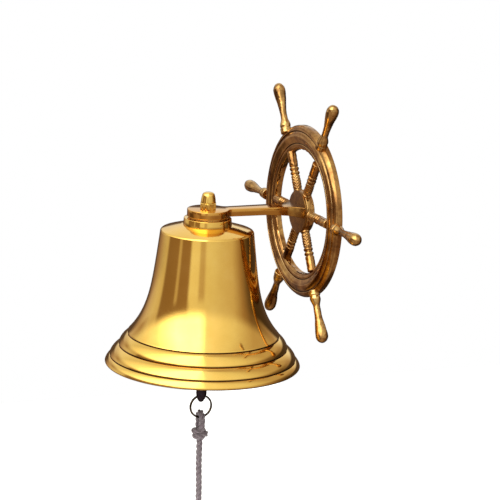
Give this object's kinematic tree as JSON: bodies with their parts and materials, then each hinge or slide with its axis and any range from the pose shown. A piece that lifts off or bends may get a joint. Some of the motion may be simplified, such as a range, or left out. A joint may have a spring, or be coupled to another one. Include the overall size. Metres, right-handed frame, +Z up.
{
  "type": "wall bell",
  "caption": "Ship's bell clamped under a bracket arm on a ship's-wheel wall plate, with a hanging clapper, split ring and twisted rope lanyard.",
  "frame": {"origin": "centre of the wheel plate on the wall plane, which is the plane of the plate's back", "axes": "+Y into the wall, so the bell stands out along -Y; +Z up; +X to the right for someone facing the wall"},
  "size_m": [0.212, 0.158, 0.3913],
  "materials": {
    "antique_brass": "darkened cast brass, rubbed bright on the high edges",
    "polished_brass": "mirror-polished brass",
    "plain_brass": "plain machined brass",
    "screw_steel": "zinc-plated steel",
    "dark_iron": "blued iron",
    "cotton_cord": "twisted grey-mauve cotton"
  },
  "bodies": {
    "mount_and_bell": {"wheel_rim": "antique_brass", "wheel_hub": "antique_brass", "spoke_1": "antique_brass", "spoke_2": "antique_brass", "spoke_3": "antique_brass", "spoke_4": "antique_brass", "spoke_5": "antique_brass", "spoke_6": "antique_brass", "handle_1": "antique_brass", "handle_2": "antique_brass", "handle_3": "antique_brass", "handle_4": "antique_brass", "handle_5": "antique_brass", "handle_6": "antique_brass", "arm": "polished_brass", "arm_screws": "screw_steel", "bell_body": "polished_brass", "collar": "polished_brass", "gap_washer": "plain_brass", "dome_nut": "polished_brass", "stud": "plain_brass", "inner_washer": "plain_brass", "inner_nut": "plain_brass"},
    "link": {"clapper_link": "dark_iron"},
    "clapper": {"clapper": "dark_iron"},
    "ring": {"split_ring": "dark_iron"},
    "lanyard": {"lanyard_eye": "cotton_cord", "lanyard_knot": "cotton_cord", "lanyard_cord": "cotton_cord", "lanyard_end_knot": "cotton_cord", "lanyard_tassel": "cotton_cord"}
  },
  "joints": [
    {"name": "clapper_swing", "type": "hinge", "parent": "mount_and_bell", "child": "link", "pos_m": [0, -0.0824, -0.0258], "axis": [0, 1, 0], "range_deg": [-30, 30]},
    {"name": "clapper_sway", "type": "hinge", "parent": "link", "child": "clapper", "pos_m": [0, -0.0824, -0.0388], "axis": [1, 0, 0], "range_deg": [-10, 10]},
    {"name": "ring_swing", "type": "hinge", "parent": "clapper", "child": "ring", "pos_m": [0, -0.0824, -0.1433], "axis": [0, 1, 0], "range_deg": [-40, 40]},
    {"name": "lanyard_swing", "type": "hinge", "parent": "ring", "child": "lanyard", "pos_m": [0, -0.0824, -0.16025], "axis": [0, 1, 0], "range_deg": [-50, 50]}
  ]
}
